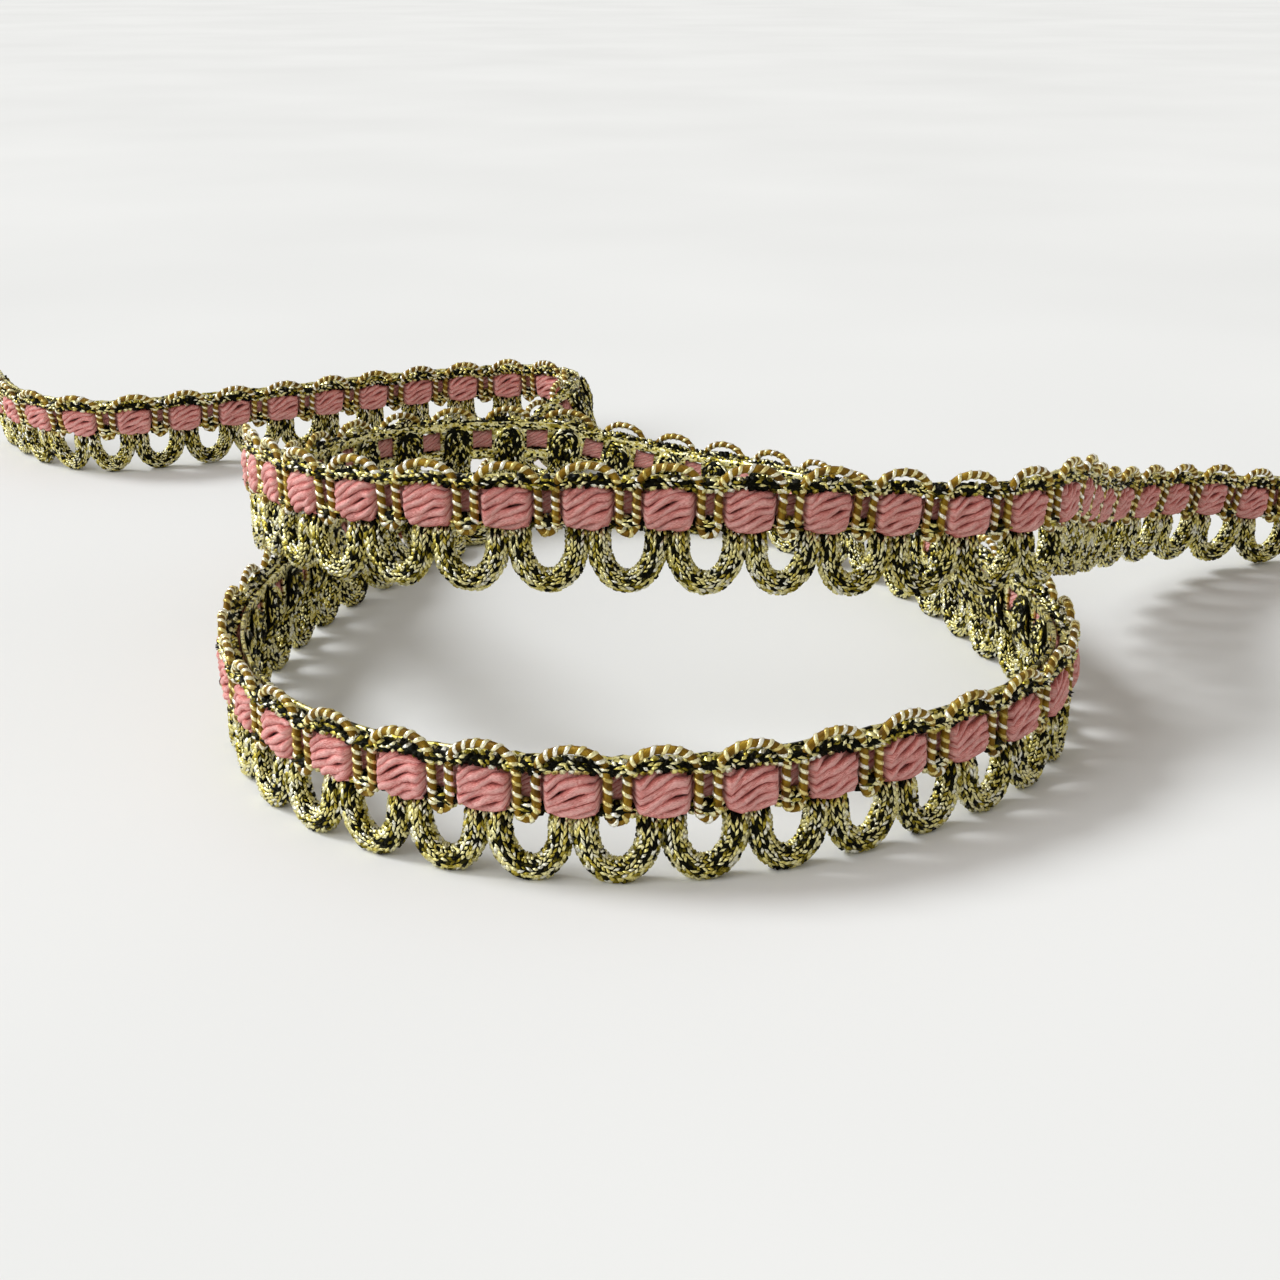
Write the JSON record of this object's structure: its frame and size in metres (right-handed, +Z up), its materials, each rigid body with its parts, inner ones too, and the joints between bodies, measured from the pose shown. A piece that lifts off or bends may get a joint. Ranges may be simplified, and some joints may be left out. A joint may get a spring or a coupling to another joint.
{
  "type": "metallic loop braid",
  "caption": "Narrow braid trimming with rose yarn blocks, arched gimp edge and metallic scallop loops, lying in one loose overlapping turn.",
  "frame": {"origin": "middle of the box of the whole braid, on the surface it lies on", "axes": "+X to the right along the longest extent, +Y away from the front of the coil, +Z up"},
  "size_m": [0.2207, 0.187, 0.034],
  "materials": {
    "pink_yarn": "soft plied cotton yarn",
    "picot_gimp": "brown core wrapped with pale gold metallic strip",
    "ground_band": "dark green and gold metallic thread",
    "loop_cord": "knitted gold and black metallic cord"
  },
  "bodies": {
    "root": {"pink_yarn": "pink_yarn", "picot_gimp": "picot_gimp", "ground_band": "ground_band", "loop_cord": "loop_cord"}
  },
  "joints": []
}
